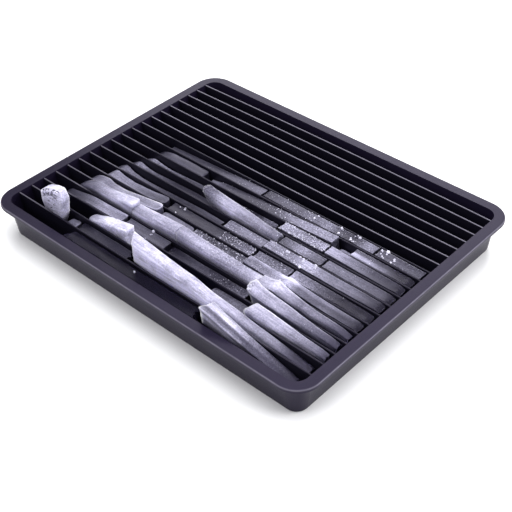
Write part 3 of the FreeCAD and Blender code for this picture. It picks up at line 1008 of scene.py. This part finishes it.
def crumb_tree():
    """Sets an angular grain on every point, turned and stretched at random, to its size."""
    tree = Tree("ice crumbs")
    tree.named("Seed", "NodeSocketInt")
    tree.named("Roughness", "NodeSocketFloat")
    tree.named("Finish", "NodeSocketMaterial")
    given = tree.node("NodeGroupInput").outputs
    ball = tree.node("GeometryNodeMeshIcoSphere", inputs={"Radius": 1.0, "Subdivisions": 1})
    bumps = tree.node(
        "ShaderNodeTexNoise", {"noise_dimensions": "3D"}, {"Scale": 0.9, "Detail": 1.0}
    )
    centred = tree.vector_math("SUBTRACT", {0: bumps.outputs["Color"], 1: (0.5, 0.5, 0.5)})
    pushed = tree.vector_math("SCALE", {0: centred, "Scale": given["Roughness"]})
    grain = tree.node(
        "GeometryNodeSetPosition", inputs={"Geometry": ball.outputs["Mesh"], "Offset": pushed}
    )
    size = tree.node("GeometryNodeInputNamedAttribute", {"data_type": "FLOAT"}, {"Name": "size"})
    stretch = tree.random_vector(*GRAIN_STRETCH, given["Seed"])
    placed = tree.node(
        "GeometryNodeInstanceOnPoints",
        inputs={
            "Points": given["Geometry"],
            "Instance": grain.outputs["Geometry"],
            "Rotation": tree.random_vector(0, FULL_TURN, given["Seed"]),
            "Scale": tree.vector_math("SCALE", {0: stretch, "Scale": size.outputs["Attribute"]}),
        },
    )
    real = tree.node(
        "GeometryNodeRealizeInstances", inputs={"Geometry": placed.outputs["Instances"]}
    )
    finished = tree.node(
        "GeometryNodeSetMaterial",
        inputs={"Geometry": real.outputs["Geometry"], "Material": given["Finish"]},
    )
    tree.node("NodeGroupOutput", inputs={"Geometry": finished.outputs["Geometry"]})
    return tree


crumb_rng = np.random.default_rng(23)


def landing_places(mesh, left, right, amount, smallest, largest):
    """Points on the top of a bar of ice between two places along X, with a size for each."""
    points, normals = points_of(mesh)
    on_top = (normals[:, 2] > FACES_UP) & (points[:, 0] >= left) & (points[:, 0] <= right)
    chosen = crumb_rng.choice(np.flatnonzero(on_top), amount)
    jitter = crumb_rng.uniform(-SCATTER, SCATTER, (amount, 3)) * (1, 1, 0.1)
    sizes = smallest + (largest - smallest) * crumb_rng.uniform(0, 1, amount) ** 3
    return points[chosen] + jitter, sizes


# Each row gives from where to where along X, how many, and the smallest and largest half width.
CRUMBS = {
    "ice_09_left": ((-60, -3, 30, 0.1, 0.35),),
    "ice_09_middle": (
        (0, 92, 110, 0.12, 0.45), (40, 44, 2, 1.1, 1.7), (60, 63, 2, 1.2, 1.6),
        (70, 79, 8, 0.6, 1.5),
    ),
    "ice_09_right": ((93, 118, 30, 0.12, 0.35), (94, 100, 7, 0.8, 1.9), (103, 108, 4, 0.6, 1.2)),
    "ice_10_middle": ((-40, 67, 90, 0.1, 0.4), (10, 60, 14, 0.4, 0.6), (0, 30, 6, 0.35, 0.5)),
    "ice_10_right": ((82, 100, 30, 0.12, 0.45),),
    "ice_11_left": ((-20, 25, 60, 0.1, 0.35),),
    "ice_11_middle": ((30, 68, 260, 0.15, 0.6),),
    "ice_11_right": ((69, 105, 14, 0.1, 0.3),),
    "ice_12_middle": ((39, 74, 40, 0.1, 0.35),),
    "ice_12_right": ((75, 112, 12, 0.1, 0.3),),
    "ice_13_middle": ((-1, 34, 60, 0.1, 0.4),),
    "ice_13_right": ((35, 80, 110, 0.12, 0.5), (49, 53, 5, 0.7, 1.5), (60, 75, 24, 0.5, 1.2)),
    "ice_14_middle": ((-37, -31, 5, 0.5, 0.9), (5, 33, 130, 0.15, 0.5)),
    "ice_14_inner": ((35, 64, 60, 0.12, 0.4),),
    "ice_14_right": ((65, 105, 30, 0.1, 0.3),),
    "ice_15_middle": ((-12, 36, 190, 0.15, 0.55),),
    "ice_15_right": ((37, 66, 40, 0.1, 0.4), (70, 73, 2, 0.6, 1.0)),
    "ice_17_middle": ((-31, -26, 5, 0.5, 1.0),),
    "ice_17_inner": ((25, 57, 40, 0.1, 0.35),),
    "ice_20_dark": ((-11, -9, 1, 1.0, 1.1),),
    "shard_12": ((-31, 38, 60, 0.1, 0.4),),
    "shard_16_inner": ((-11, 56, 70, 0.1, 0.35), (10, 40, 8, 0.4, 0.6)),
    "shard_16_middle": ((-50, -13, 20, 0.1, 0.25),),
    "shard_16_right": ((68, 72, 8, 0.4, 0.9), (60, 110, 18, 0.1, 0.3)),
    "shard_17_right": ((60, 63, 10, 0.5, 1.1), (64, 110, 14, 0.1, 0.3)),
    "shard_18_left": ((-58, -38, 20, 0.15, 0.4),),
}
crumb_ice = ice_finish("crumb ice", (0.36, 0.35, 0.46), (0.78, 0.76, 0.95), 0.9, 0.4)
crumbs_of = {}
for node, patches in CRUMBS.items():
    mesh = bpy.data.objects[node + "_ice"].data
    for patch in patches:
        crumbs_of.setdefault(body_of[node], []).append(landing_places(mesh, *patch))
tree = crumb_tree()
for seed, (body, landed) in enumerate(crumbs_of.items()):
    places, sizes = zip(*landed)
    cloud = bpy.data.meshes.new("crumb_places")
    cloud.from_pydata(np.concatenate(places) * MM, [], [])
    mark(cloud, "size", np.concatenate(sizes) * MM)
    piece = bpy.data.objects.new("crumbs_" + body, cloud)
    scene.collection.objects.link(piece)
    grow = piece.modifiers.new("crumbs", "NODES")
    grow.node_group = tree.group
    grow[tree.ids["Seed"]] = seed
    grow[tree.ids["Roughness"]] = GRAIN_ROUGHNESS
    grow[tree.ids["Finish"]] = crumb_ice
    mesh = bpy.data.meshes.new_from_object(
        piece.evaluated_get(bpy.context.evaluated_depsgraph_get())
    )
    piece.modifiers.clear()
    piece.data = mesh
    mark(mesh, "white", np.full(len(mesh.vertices), GRAIN_WHITE))
    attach(piece, body)
    "trough_ice" if body == "tray" else "raised_ice"
